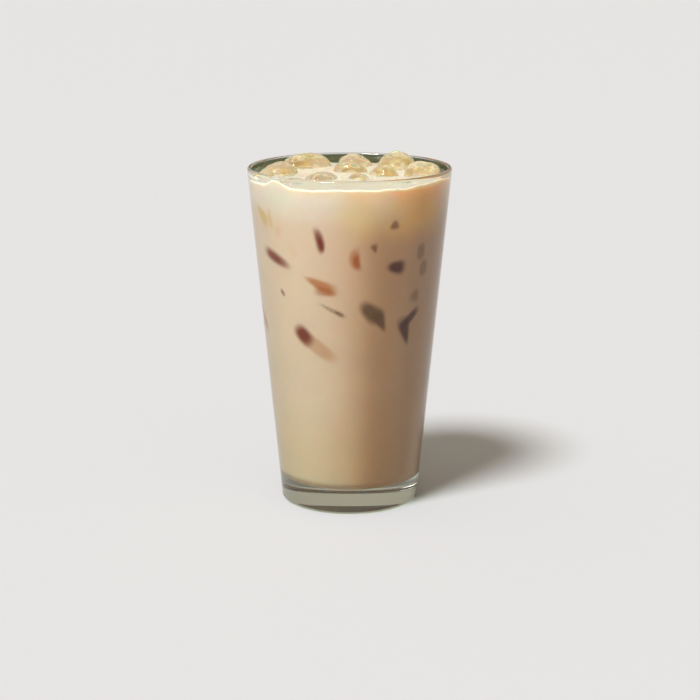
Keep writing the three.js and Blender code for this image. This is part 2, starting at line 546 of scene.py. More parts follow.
@dataclass
class Tumbler:
    """The mixing glass: a straight-sided tumbler with a round rim and a thick base.

    Attributes:
        finish: The glass it is pressed from.
        height: Height of the rim.
        foot_radius: Outside radius at the foot.
        rim_radius: Outside radius at the rim.
        rim_wall: Wall thickness at the rim.
        foot_wall: Wall thickness at the inside floor.
        floor_height: Height of the inside floor.
        floor_fillet: Radius between the inside floor and wall.
        heel_radius: Rounding at the foot's edge.
        punt_radius: Radius of the hollow under the foot.
        punt_depth: Depth of that hollow.
        turn_segments: Facets round the glass.
        wall_rows: Heights of the rows of points on the inside wall, close together by the tea's film.
        weld: Points of the turned surface that lie closer than this are joined.
        axis_radius: Radius of the circle that turns the half section, next to nothing.
        inner_share: Share of the rim's wall that counts as its inner side.
        painted_shade_from_rim: Heights between which the painted dark band comes in below the rim.
        painted_shade_from_front: Places along y between which it comes in towards the back.
        base_tint: Heights between which the thick base's colour comes in.
    """

    finish: TemperedGlass
    height: float = 149.0
    foot_radius: float = 30.4
    rim_radius: float = 44.45
    rim_wall: float = 2.3
    foot_wall: float = 3.2
    floor_height: float = 11.0
    floor_fillet: float = 4.0
    heel_radius: float = 1.8
    punt_radius: float = 26.5
    punt_depth: float = 1.1
    turn_segments: int = 256
    wall_rows: tuple[float, ...] = (146.8, 145.6, 144.6, 143.6, 142.4, 128, 96, 60, 30)
    weld: float = 0.02
    axis_radius: float = 0.001
    inner_share: float = 0.35
    painted_shade_from_rim: Fade = Fade(148.9, 148.2)
    painted_shade_from_front: Fade = Fade(-20, -2)
    base_tint: Fade = Fade(14, 9)

    def outer_radius(self, z: float | np.ndarray) -> float | np.ndarray:
        """Radius of the outside of the glass at a height, or at an array of heights."""
        return self.foot_radius + (self.rim_radius - self.foot_radius) * z / self.height

    def inner_radius(self, z: float | np.ndarray) -> float | np.ndarray:
        """Radius of the inside of the glass at a height, or at an array of heights."""
        share = (z - self.floor_height) / (self.height - self.floor_height)
        return self.outer_radius(z) - self.foot_wall - (self.rim_wall - self.foot_wall) * share

    def fillet(self, gap: float, steps: int) -> list[tuple[float, float]]:
        """The curve from the inside floor to the inside wall.

        Args:
            gap: How far inside the glass's own surface the curve lies. Below 0 it is in the glass.
            steps: How many steps the curve takes.

        Returns:
            Pairs of radius and height, from the floor to the wall.
        """
        centre_height = self.floor_height + gap + self.floor_fillet
        centre_radius = self.inner_radius(centre_height) - gap - self.floor_fillet
        return arc((centre_radius, centre_height), self.floor_fillet, -90, 0, steps)

    def profile(self) -> list[tuple[float, float]]:
        """The half section of the glass, from the middle of its foot round to its inside floor."""
        rim = self.rim_wall / 2
        punt = [(self.punt_radius * s, self.punt_depth * (1 - s * s)) for s in (0, 0.25, 0.5, 0.75, 0.9, 1)]
        heel = arc((self.foot_radius - self.heel_radius, self.heel_radius), self.heel_radius, -90, 0, 10)
        lip = arc((self.rim_radius - rim, self.height - rim), rim, 0, 180, 16)
        rows = [(self.inner_radius(z), z) for z in self.wall_rows]
        floor = [*reversed(self.fillet(0, 12)), (20.0, self.floor_height), (0.0, self.floor_height)]
        return [*punt, *heel, *lip, *rows, *floor]

    def turning_tree(self, material: bpy.types.Material) -> bpy.types.GeometryNodeTree:
        """Makes the node tree that turns a half section about the upright axis.

        Args:
            material: The material that the turned surface gets.

        Returns:
            A tree with inputs for the section, the facets and the size of the axis.
        """
        tree = bpy.data.node_groups.new("turned_glass", "GeometryNodeTree")
        sockets = tree.interface
        sockets.new_socket("Half Section", in_out="INPUT", socket_type="NodeSocketGeometry")
        sockets.new_socket("Turn Segments", in_out="INPUT", socket_type="NodeSocketInt")
        sockets.new_socket("Axis Radius", in_out="INPUT", socket_type="NodeSocketFloat")
        sockets.new_socket("Turned Glass", in_out="OUTPUT", socket_type="NodeSocketGeometry")
        given = add_node(tree, "NodeGroupInput")
        section = add_node(tree, "GeometryNodeMeshToCurve", {"Mesh": given.outputs["Half Section"]})
        axis = add_node(
            tree,
            "GeometryNodeCurvePrimitiveCircle",
            {"Resolution": given.outputs["Turn Segments"], "Radius": given.outputs["Axis Radius"]},
            mode="RADIUS",
        )
        turned = add_node(
            tree,
            "GeometryNodeCurveToMesh",
            {"Curve": axis.outputs["Curve"], "Profile Curve": section.outputs["Curve"]},
        )
        welded = add_node(
            tree,
            "GeometryNodeMergeByDistance",
            {"Geometry": turned.outputs["Mesh"], "Distance": self.weld * MM},
        )
        smooth = add_node(tree, "GeometryNodeSetShadeSmooth", {"Geometry": welded.outputs["Geometry"]})
        real = add_node(tree, "GeometryNodeRealizeInstances", {"Geometry": smooth.outputs["Geometry"]})
        dressed = add_node(
            tree,
            "GeometryNodeSetMaterial",
            {"Geometry": real.outputs["Geometry"], "Material": material},
        )
        add_node(tree, "NodeGroupOutput", {"Turned Glass": dressed.outputs["Geometry"]})
        return tree

    def build(self) -> bpy.types.Object:
        """Turns the section into the finished glass and returns it."""
        section = bpy.data.meshes.new("glass_section")
        points = [(radius * MM, -height * MM, 0.0) for radius, height in reversed(self.profile())]
        section.from_pydata(points, [(i, i + 1) for i in range(len(points) - 1)], [])
        piece = place_mesh("tumbler", section)
        turning = piece.modifiers.new("turning", "NODES")
        turning.node_group = self.turning_tree(self.finish.material())
        values = {"Turn Segments": self.turn_segments, "Axis Radius": self.axis_radius * MM}
        for socket in turning.node_group.interface.items_tree:
            if socket.name in values:
                turning[socket.identifier] = values[socket.name]
        freeze(piece)
        return piece

    def dress(self, piece: bpy.types.Object, drink_level: float) -> None:
        """Tints the thick base, and paints a dark band of shade on the back of the inner wall above the
        drink.

        Args:
            piece: The glass.
            drink_level: Height of the drink.
        """
        x, y, z = vertices_of(piece.data).T
        inside = np.hypot(x, y) < self.inner_radius(z) + self.inner_share * self.rim_wall
        above = smoothstep(drink_level - 1.0, drink_level, z) * self.painted_shade_from_rim.at(z)
        # Painted shade: a dark band on the back of the inner wall, between the drink and the rim.
        film_and_painted_shade = inside * above * self.painted_shade_from_front.at(y)
        heavy = self.base_tint.at(z)
        tint_and_painted_shade = mixed(colour_row(self.finish.clear), colour_row(self.finish.heavy), heavy)
        tint_and_painted_shade = mixed(tint_and_painted_shade, colour_row(self.finish.film_and_painted_shade), film_and_painted_shade)
        paint(piece.data, "tint_and_painted_shade", "FLOAT_COLOR", tint_and_painted_shade)
        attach(piece, "root")
        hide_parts("glass")


@dataclass(frozen=True)
class SunkFace:
    """A face of sunk ice that lies against the glass, painted on the drink as a soft-edged patch whose dark
    tone is painted shade of the deep tea behind.

    Attributes:
        heading: Where its middle lies round the glass, in degrees.
        height: Height of its middle.
        length: Its longer side.
        width: Its shorter side.
        tilt: Slope of the longer side, in degrees, rising to the right when positive.
        tone: Its colour.
        strength: How fully that colour covers the drink's.
        taper: How far it narrows towards its right end, or its left end when negative.
        bend: How far its ends curl up, as a share of its length.
        blur: Softness of its edge, as a share of its half width.
        squareness: Power of its outline, which is 2 for an oval and more for a squarer form.
        drop: How far below its stated height it is drawn, found by laying the render over the photo.
    """

    heading: float
    height: float
    length: float
    width: float
    tilt: float
    tone: IceTone
    strength: float = 0.85
    taper: float = 0.0
    bend: float = 0.0
    blur: float = 0.45
    squareness: float = 2.6
    drop: float = 0.5

    def cover(self, heading: np.ndarray, height: np.ndarray, radius: np.ndarray) -> np.ndarray:
        """How fully the patch covers each point of the wall.

        Args:
            heading: Headings of the points, in degrees.
            height: Heights of the points.
            radius: Distances of the points from the axis.

        Returns:
            A share from 0 to strength for each point.
        """
        across = np.radians(turned_from(heading, self.heading)) * radius
        up = height - self.height + self.drop
        slope = math.radians(self.tilt)
        along = (across * math.cos(slope) + up * math.sin(slope)) / (self.length / 2)
        side = (up * math.cos(slope) - across * math.sin(slope)) / (self.width / 2)
        side = side - self.bend * self.length / self.width * 2 * along**2
        narrowed = np.clip(1 - self.taper * along, 0.15, 2)
        power = self.squareness
        distance = (np.abs(along) ** power + np.abs(side / narrowed) ** power) ** (1 / power)
        return self.strength * (1 - smoothstep(1 - self.blur, 1 + self.blur, distance))


@dataclass
class FrothClimb:
    """A stretch of the contact line where the froth stands higher on the glass.

    Attributes:
        heading: Where its middle lies round the glass, in degrees.
        height: How much higher the froth stands there.
        spread: How far it reaches to each side, in degrees.
    """

    heading: float
    height: float
    spread: float


@dataclass
class IceCube:
    """A melting cube that stands out of the drink.

    Attributes:
        node: The solid that it stands for.
        at: Its middle, seen from above.
        width: Its width before melting rounded it.
        climb: How far the froth rises on it.
        seed: What its dimples are drawn from.
        dimple_size: Size of the shallow hollows that melting leaves.
        dimple_depth: How far those hollows rise and fall.
        crease_depth: How deep the creases between them are.
        crease_rate: How much finer the creases are than the hollows.
        fill: How far the surface stands out, to make up for the creases.
        weld: Points of the solid that lie closer than this are joined.
    """

    node: str
    at: tuple[float, float]
    width: float
    climb: float
    seed: int
    dimple_size: float = 5.5
    dimple_depth: float = 0.5
    crease_depth: float = 0.6
    crease_rate: float = 1.6
    fill: float = 0.3
    weld: float = 0.002

    def copy_of_solid(self) -> bmesh.types.BMesh:
        """Returns the solid's surface with each corner held once."""
        shape = bmesh.new()
        shape.from_mesh(bpy.data.objects[self.node].data)
        bmesh.ops.remove_doubles(shape, verts=shape.verts, dist=self.weld * MM)
        return shape

    def build(self, name: str, grow: float, levels: int) -> bpy.types.Object:
        """Makes the rounded cube, with the shallow dimples that melting leaves.

        Args:
            name: The piece's name.
            grow: How far its surface lies outside the solid's.
            levels: How many times its faces are divided.

        Returns:
            The cube as a plain mesh.
        """
        mesh = bpy.data.meshes.new(name)
        shape = self.copy_of_solid()
        shape.to_mesh(mesh)
        shape.free()
        piece = place_mesh(name, mesh)
        rounding = piece.modifiers.new("rounding", "SUBSURF")
        rounding.levels = rounding.render_levels = levels
        freeze(piece)
        points = vertices_of(piece.data)
        normals = np.empty(points.size)
        piece.data.vertices.foreach_get("normal", normals)
        spots = points / self.dimple_size + SEED_SHIFT * self.seed
        dimples = noise_at(spots, 1) * self.dimple_depth
        creases = np.abs(noise_at(spots * self.crease_rate, 1)) * self.crease_depth
        points += normals.reshape(-1, 3) * (grow + self.fill + dimples - creases)[:, None]
        piece.data.vertices.foreach_set("co", (points * MM).ravel())
        piece.data.shade_smooth()
        return piece


def drink_climbs() -> list[FrothClimb]:
    """Where the froth stands higher: along the front, and in two peaks left and right of it."""
    return [FrothClimb(-90, 0.7, 42), FrothClimb(-137, 2.2, 8), FrothClimb(-30, 2.0, 20)]


def front_faces() -> list[SunkFace]:
    """The faces of sunk ice on the side that the photo shows, from the top down."""
    return [
        SunkFace(-152.5, 131.5, 10.0, 4.6, -42, IceTone.STRAW, 0.75, taper=-0.5),
        SunkFace(-144.0, 131.0, 8.0, 2.4, -80, IceTone.STRAW, 0.5, taper=-0.3),
        SunkFace(-138.0, 126.3, 5.0, 4.0, 80, IceTone.TAN, 0.45, blur=0.7),
        SunkFace(-127.2, 118.7, 6.0, 4.0, -45, IceTone.TAN, 0.35, blur=0.8),
        SunkFace(-108.0, 123.9, 9.6, 3.6, -78, IceTone.BROWN, 0.85, bend=-0.05),
        SunkFace(-107.4, 122.4, 6.6, 2.4, -76, IceTone.RUST, 0.9, bend=-0.05),
        SunkFace(-141.5, 113.8, 14.8, 4.6, -20, IceTone.BROWN, 0.8, taper=0.15),
        SunkFace(-143.5, 114.2, 9.0, 3.0, -22, IceTone.RUST, 0.75),
        SunkFace(-87.2, 115.9, 8.8, 4.0, -84, IceTone.APRICOT, 0.7, bend=0.12),
        SunkFace(-85.9, 115.0, 6.0, 2.8, -84, IceTone.ORANGE, 0.9, bend=0.08),
        SunkFace(-62.9, 129.8, 3.8, 3.2, 30, IceTone.BROWN, 0.75, taper=-0.4),
        SunkFace(-74.8, 120.4, 3.8, 2.2, -70, IceTone.OLIVE, 0.75, taper=0.6),
        SunkFace(-60.0, 111.7, 7.6, 5.2, -6, IceTone.SEPIA, 0.95, taper=-0.25),
        SunkFace(-41.1, 117.0, 6.9, 4.4, 88, IceTone.OLIVE, 0.45, blur=0.3),
        SunkFace(-37.6, 109.5, 6.8, 4.4, 86, IceTone.OLIVE, 0.45, blur=0.3),
        SunkFace(-108.8, 104.4, 13.2, 4.2, -24, IceTone.APRICOT, 0.9, taper=-0.45),
        SunkFace(-105.5, 101.6, 8.5, 3.6, -8, IceTone.ORANGE, 0.6, taper=0.35),
        SunkFace(-137.9, 99.1, 3.2, 1.4, -52, IceTone.BROWN, 0.85),
        SunkFace(-101.5, 93.6, 11.0, 1.5, -27, IceTone.OLIVE, 0.55, taper=-0.4),
        SunkFace(-96.6, 92.2, 4.0, 1.6, -32, IceTone.OLIVE, 0.6),
        SunkFace(-76.0, 92.6, 10.5, 6.4, -44, IceTone.OLIVE, 0.9, taper=-0.2),
        SunkFace(-69.5, 88.6, 9.5, 4.2, -66, IceTone.OLIVE, 0.9, taper=0.55),
        SunkFace(-46.4, 88.2, 10.5, 3.4, 40, IceTone.UMBER, 0.9),
        SunkFace(-50.0, 82.6, 11.5, 4.4, -74, IceTone.UMBER, 0.95, taper=0.6),
        SunkFace(-43.2, 98.1, 5.0, 4.2, 70, IceTone.OLIVE, 0.45, taper=0.4, blur=0.6),
        SunkFace(-114.6, 77.8, 20.5, 6.2, -36, IceTone.APRICOT, 0.5, blur=0.3),
        SunkFace(-122.4, 81.4, 9.0, 6.2, -48, IceTone.BROWN, 0.9),
        SunkFace(-122.8, 81.6, 5.0, 4.2, -52, IceTone.RUST, 0.7),
    ]


def hidden_faces(
    count: int = 16, seed: int = 5, start: float = -8.0, sweep: float = 204.0
) -> list[SunkFace]:
    """Draws more faces of sunk ice for the side that the photo doesn't show.

    Args:
        count: How many there are.
        seed: What they are drawn from.
        start: Heading at which that side begins, in degrees.
        sweep: How far round it goes, in degrees.

    Returns:
        The faces, spread evenly round the back.
    """
    draw = random.Random(seed)
    tones = [
        IceTone.BROWN,
        IceTone.RUST,
        IceTone.APRICOT,
        IceTone.ORANGE,
        IceTone.SEPIA,
        IceTone.OLIVE,
        IceTone.UMBER,
    ]
    faces = []
    for i in range(count):
        heading = start + sweep * (i + draw.uniform(0.1, 0.9)) / count
        height = draw.uniform(78, 131)
        length = draw.uniform(4.5, 13)
        width = draw.uniform(2.4, 5.4)
        tilt = draw.uniform(-85, 85)
        strength = draw.uniform(0.5, 0.95)
        taper = draw.uniform(-0.5, 0.5)
        faces.append(SunkFace(heading, height, length, width, tilt, draw.choice(tones), strength, taper))
    return faces


def all_faces() -> list[SunkFace]:
    """All the faces of sunk ice, front and back."""
    return front_faces() + hidden_faces()


@dataclass(frozen=True)
class PaintedSideGlow:
    """A warmer, brighter stretch of the drink's side: partly the tea's own warmer colour, partly painted
    light that comes through the ice above it.

    Attributes:
        colour: Its colour.
        heading: Where its middle lies round the glass, in degrees.
        spread: How far it reaches to each side, in degrees.
        strength: How fully its colour covers the drink's.
    """

    colour: str
    heading: float
    spread: float
    strength: float


@dataclass(frozen=True)
class BrewAndPaintedLight:
    """The drink's colour from place to place, with painted shade away from the lamp and painted light high
    on the side. A loss is a share of red, green and blue taken away.

    Attributes:
        cream: Just under the surface, where milk has gathered.
        body: Most of the drink.
        low: Near the floor of the glass.
        top: The open surface.
        pocket: Under the ice, where light comes through it.
        painted_glows: Warmer, brighter stretches: partly the tea's own colour, partly painted light through
            the ice above.
        cream_to_body: Heights between which cream gives way to body.
        body_to_low: Heights between which body gives way to low.
        right_painted_shade: Painted shade that the right side loses, away from the lamp.
        right_shade_begins: Headings between which that painted shade comes in.
        right_shade_ends: Headings between which it goes again.
        right_shade_depth: Heights between which it comes in.
        turn_painted_shade: Painted shade that the turn towards that side loses.
        turn_shade_heading: Where the middle of the turn lies, in degrees.
        turn_shade_spread: How far the turn reaches to each side, in degrees.
        turn_shade_depth: Heights between which its painted shade comes in.
        painted_glow_low: Heights between which the painted glows come in, from below.
        painted_glow_high: Heights between which they come in, from above.
        pocket_depth: How far below the drink's level the pockets' colour goes.
        top_depth: How far below it the open surface's colour goes.
        sway_size: Size of the uneven stretches of every border between colours.
        sway_stretch: How much flatter than wide those stretches are.
        sway_rise: How far they move a border up or down.
        sway_turn: How far they move it round the glass, in degrees.
    """

    cream: str = "#E0D8CA"
    body: str = "#DCC8B2"
    low: str = "#DAC3A6"
    top: str = "#CBC3B0"
    pocket: str = "#F0E7CE"
    painted_glows: tuple[PaintedSideGlow, ...] = (
        PaintedSideGlow("#E0C892", -84, 12, 0.6),
        PaintedSideGlow("#F8C872", -44, 26, 0.85),
    )
    cream_to_body: Fade = Fade(141.5, 127)
    body_to_low: Fade = Fade(60, 18)
    right_painted_shade: tuple[float, float, float] = (0.05, 0.25, 0.4)
    right_shade_begins: Fade = Fade(-120, -62)
    right_shade_ends: Fade = Fade(120, 20)
    right_shade_depth: Fade = Fade(136, 122)
    turn_painted_shade: tuple[float, float, float] = (0.2, 0.26, 0.35)
    turn_shade_heading: float = -70.0
    turn_shade_spread: float = 16.0
    turn_shade_depth: Fade = Fade(141, 127)
    painted_glow_low: Fade = Fade(118, 134)
    painted_glow_high: Fade = Fade(145, 143.5)
    pocket_depth: float = 20.0
    top_depth: float = 0.8
    sway_size: float = 9.0
    sway_stretch: float = 1.6
    sway_rise: float = 3.0
    sway_turn: float = 8.0

    def with_painted_shade(self, colour: np.ndarray, heading: np.ndarray, z: np.ndarray) -> np.ndarray:
        """Paints shade on the right side and on the turn towards it, away from the lamp, by taking their
        losses off the drink's colour.

        Args:
            colour: Linear colours of the points.
            heading: Headings of the points, in degrees.
            z: Heights of the points.

        Returns:
            The darker colours.
        """
        # Painted shade: the side away from the lamp, and the turn towards it, are darkened and browned.
        side = self.right_shade_begins.at(heading) * self.right_shade_ends.at(heading) * self.right_shade_depth.at(z)
        turn = near(heading, self.turn_shade_heading, self.turn_shade_spread) * self.turn_shade_depth.at(z)
        for share, loss in ((side, self.right_painted_shade), (turn, self.turn_painted_shade)):
            colour = colour * (1 - share[:, None] * np.array([*loss, 0.0]))
        return colour

    def on_side(self, heading: np.ndarray, z: np.ndarray, sway: np.ndarray) -> np.ndarray:
        """Mixes the colour of the drink's side, with its painted shade and painted light, without the sunk
        ice.

        Args:
            heading: Headings of the points, in degrees.
            z: Heights of the points.
            sway: How uneven the borders are at the points, from -1 to 1.

        Returns:
            A linear colour with alpha for each point.
        """
        risen = z + self.sway_rise * sway
        colour = mixed(colour_row(self.cream), colour_row(self.body), self.cream_to_body.at(risen))
        colour = mixed(colour, colour_row(self.low), self.body_to_low.at(z))
        colour = self.with_painted_shade(colour, heading, z)
        # Painted light: warm, bright stretches high on the side, where light comes through the ice above.
        band = self.painted_glow_low.at(risen) * self.painted_glow_high.at(z)
        for painted_glow in self.painted_glows:
            share = painted_glow.strength * band * near(heading + self.sway_turn * sway, painted_glow.heading, painted_glow.spread)
            colour = mixed(colour, colour_row(painted_glow.colour), share)
        return colour


@dataclass
class Drink:
    """The chai latte: milky tea that fills the glass, cut round its ice.

    Attributes:
        finish: The tea.
        glass: The glass that it fills.
        cubes: The ice that stands out of it.
        level: Height of its surface.
        reach: How far it goes into the wall, so that no air shows between them.
        climb: How far the froth creeps up the glass all round.
        lapping: Height of the small uneven laps along that line.
        climbs: Where it creeps higher.
        climb_reach: How far that creep reaches from the glass.
        ice_climb_reach: How far it reaches from the ice.
        wave: Height of the slow waves on its surface.
        faces: Sunk ice that shows through the wall, painted with the shade of the deep tea behind it.
        colours: Its colours from place to place, with painted shade and painted light.
        wall_skin: How deep under the wall's surface its points still count as lying on it.
        meets_cube: Share of a cube's width at which its surface meets the cube.
        froths_cube: Share of a cube's width from which froth spreads.
        froth_from_glass: How far froth spreads from the glass.
        froth_from_ice: How far it spreads from the ice.
        froth_depth: How far below the level froth still lies on the surface.
        wall_froth: How frothy its line on the glass is, from 0 to 1.
        top_froth: How frothy its surface is beside glass and ice, from 0 to 1.
        froth_line: Depths below the line's top between which its froth comes in.
        fray: How far the lower edge of that line is frayed.
        segments: Steps round the glass.
        side_rings: Steps up the side.
        top_rings: Steps from the wall to the middle of its surface.
        ring_bunching: Power that spaces those steps. At 1 they are even, and below 1 wider inside.
    """

    finish: MilkyTea
    glass: Tumbler
    cubes: list[IceCube]
    level: float = 144.1
    reach: float = 0.15
    climb: float = 0.35
    lapping: float = 0.75
    climbs: list[FrothClimb] = field(default_factory=drink_climbs)
    climb_reach: float = 2.2
    ice_climb_reach: float = 3.2
    wave: float = 0.12
    faces: list[SunkFace] = field(default_factory=all_faces)
    colours: BrewAndPaintedLight = BrewAndPaintedLight()
    wall_skin: float = 0.6
    meets_cube: float = 0.46
    froths_cube: float = 0.5
    froth_from_glass: float = 2.5
    froth_from_ice: float = 2.0
    froth_depth: float = 1.5
    wall_froth: float = 0.6
    top_froth: float = 0.3
    froth_line: Fade = Fade(2.2, 0.2)
    fray: float = 1.3
    segments: int = 330
    side_rings: int = 165
    top_rings: int = 58
    ring_bunching: float = 0.97

    def wall_climb(self, heading: np.ndarray) -> np.ndarray:
        """How high the froth stands on the glass at each heading."""
        height = np.full_like(heading, self.climb)
        for extra in self.climbs:
            height += extra.height * near(turned_from(heading, extra.heading), 0, extra.spread)
        turn = np.radians(heading)
        ring = np.stack([np.cos(turn), np.sin(turn), np.zeros_like(turn)], axis=-1).reshape(-1, 3)
        lap = noise_at(ring, 1 / 6) + 0.5 * noise_at(ring, 1 / 15)
        return height + self.lapping * lap.reshape(heading.shape)

    def surface(self, x: np.ndarray, y: np.ndarray) -> np.ndarray:
        """Height of the drink's surface at points seen from above."""
        from_wall = np.maximum(0, self.glass.inner_radius(self.level) - np.hypot(x, y))
        climb = self.wall_climb(np.degrees(np.arctan2(y, x))) * np.exp(-from_wall / self.climb_reach)
        for cube in self.cubes:
            from_ice = np.maximum(0, np.hypot(x - cube.at[0], y - cube.at[1]) - self.meets_cube * cube.width)
            climb = np.maximum(climb, cube.climb * np.exp(-from_ice / self.ice_climb_reach))
        slow = np.sin(0.31 * x + 0.9) * np.cos(0.27 * y) + np.sin(0.17 * x - 0.23 * y)
        return self.level + climb + self.wave * slow

    def rings(self) -> list[np.ndarray]:
        """The rings of points that make the drink's surface, from the floor round to the top's middle."""
        headings = np.linspace(-math.pi, math.pi, self.segments, endpoint=False)
        ray = np.stack([np.cos(headings), np.sin(headings)], axis=1)
        fillet = self.glass.fillet(-self.reach, 8)
        floor = [(fillet[0][0] * share, fillet[0][1]) for share in (0.15, 0.35, 0.55, 0.75, 0.9)]
        rings = []
        for radius, z in [*floor, *fillet]:
            rings.append(np.column_stack([ray * radius, np.full(self.segments, z)]))
        wall = self.glass.inner_radius(self.level)
        shore = self.surface(ray[:, 0] * wall, ray[:, 1] * wall)
        for i in range(1, self.side_rings + 1):
            z = fillet[-1][1] + (shore - fillet[-1][1]) * i / self.side_rings
            radius = self.glass.inner_radius(z) + self.reach
            rings.append(np.column_stack([ray * radius[:, None], z]))
        for i in range(1, self.top_rings):
            radius = wall * (1 - i / self.top_rings) ** self.ring_bunching
            flat = ray * radius
            rings.append(np.column_stack([flat, self.surface(flat[:, 0], flat[:, 1])]))
        return rings

    def solid(self) -> bpy.types.Object:
        """Makes the drink as one closed form, before the ice is cut out of it."""
        rings = self.rings()
        count = self.segments
        bottom = np.array([[0.0, 0.0, rings[0][0, 2]]])
        middle = np.array([[0.0, 0.0, float(self.surface(np.zeros(1), np.zeros(1))[0])]])
        points = np.concatenate([*rings, bottom, middle]) * MM
        faces = []
        for ring in range(len(rings) - 1):
            for i in range(count):
                j = (i + 1) % count
                low, high = ring * count, (ring + 1) * count
                faces.append((low + i, low + j, high + j, high + i))
        last = (len(rings) - 1) * count
        for i in range(count):
            j = (i + 1) % count
            faces.append((j, i, len(points) - 2))
            faces.append((last + i, last + j, len(points) - 1))
        mesh = bpy.data.meshes.new("chai_latte")
        mesh.from_pydata(points.tolist(), [], faces)
        return place_mesh("chai_latte", mesh)

    def build(self) -> bpy.types.Object:
        """Cuts a wet pocket for each cube out of the drink and returns the drink."""
        piece = self.solid()
        cutters = [cube.build(f"pocket_{i}", grow=-0.1, levels=1) for i, cube in enumerate(self.cubes)]
        for i, cutter in enumerate(cutters):
            cut = piece.modifiers.new(f"pocket_{i}", "BOOLEAN")
            cut.operation = "DIFFERENCE"
            cut.solver = "MANIFOLD"
            cut.object = cutter
        freeze(piece)
        for cutter in cutters:
            bpy.data.meshes.remove(cutter.data)
        piece.data.shade_smooth()
        return piece

    def on_wall(self, points: np.ndarray) -> np.ndarray:
        """Says of each point whether it lies against the glass."""
        x, y, z = points.T
        return np.hypot(x, y) > self.glass.inner_radius(z) - self.wall_skin

    def brew_and_painted_light(self, points: np.ndarray) -> np.ndarray:
        """Mixes the drink's colour at each point: creamy on top, browner down, with painted shade to the
        right and painted light high on the side.

        Args:
            points: Vertices, in millimetres.

        Returns:
            A linear colour with alpha for each point.
        """
        x, y, z = points.T
        heading = np.degrees(np.arctan2(y, x))
        on_wall = self.on_wall(points)
        colours = self.colours
        sway = noise_at(points, colours.sway_size, colours.sway_stretch)
        colour = colours.on_side(heading, z, sway)
        for inner, depth in ((colours.pocket, colours.pocket_depth), (colours.top, colours.top_depth)):
            colour = mixed(colour, colour_row(inner), ~on_wall & (z > self.level - depth))
        # Sunk ice against the glass, painted as patches whose dark tones are painted shade of the deep tea
        # behind.
        for face in self.faces:
            cover = face.cover(heading, z, np.hypot(x, y)) * on_wall
            colour = mixed(colour, colour_row(face.tone.value), cover)
        return colour

    def froth(self, points: np.ndarray) -> np.ndarray:
        """How frothy the drink is at each point, from 0 to 1: most along the contact lines."""
        x, y, z = points.T
        wall = self.glass.inner_radius(self.level)
        out = np.hypot(x, y).clip(1e-6)
        shore = self.surface(x / out * wall, y / out * wall)
        on_wall = self.on_wall(points)
        fray = noise_at(points, 2.4) + noise_at(points, 6.0)
        line = self.wall_froth * on_wall * self.froth_line.at(shore - z + self.fray * fray)
        on_top = ~on_wall & (z > self.level - self.froth_depth)
        return np.clip(line + on_top * self.top_froth * self.nearness(x, y), 0, 1)

    def nearness(self, x: np.ndarray, y: np.ndarray) -> np.ndarray:
        """How near points of the surface are to the glass or to ice, from 0 to 1."""
        from_glass = np.maximum(0, self.glass.inner_radius(self.level) - np.hypot(x, y))
        close = np.exp(-from_glass / self.froth_from_glass)
        for cube in self.cubes:
            from_middle = np.hypot(x - cube.at[0], y - cube.at[1])
            from_ice = np.maximum(0, from_middle - self.froths_cube * cube.width)
            close = np.maximum(close, np.exp(-from_ice / self.froth_from_ice))
        return close

    def dress(self, piece: bpy.types.Object) -> None:
        """Colours the drink and fixes it in the frame."""
        points = vertices_of(piece.data)
        paint(piece.data, "brew_and_painted_light", "FLOAT_COLOR", self.brew_and_painted_light(points))
        paint(piece.data, "froth", "FLOAT", self.froth(points))
        piece.data.materials.clear()
        piece.data.materials.append(self.finish.material())
        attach(piece, "root")
        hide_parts("drink")


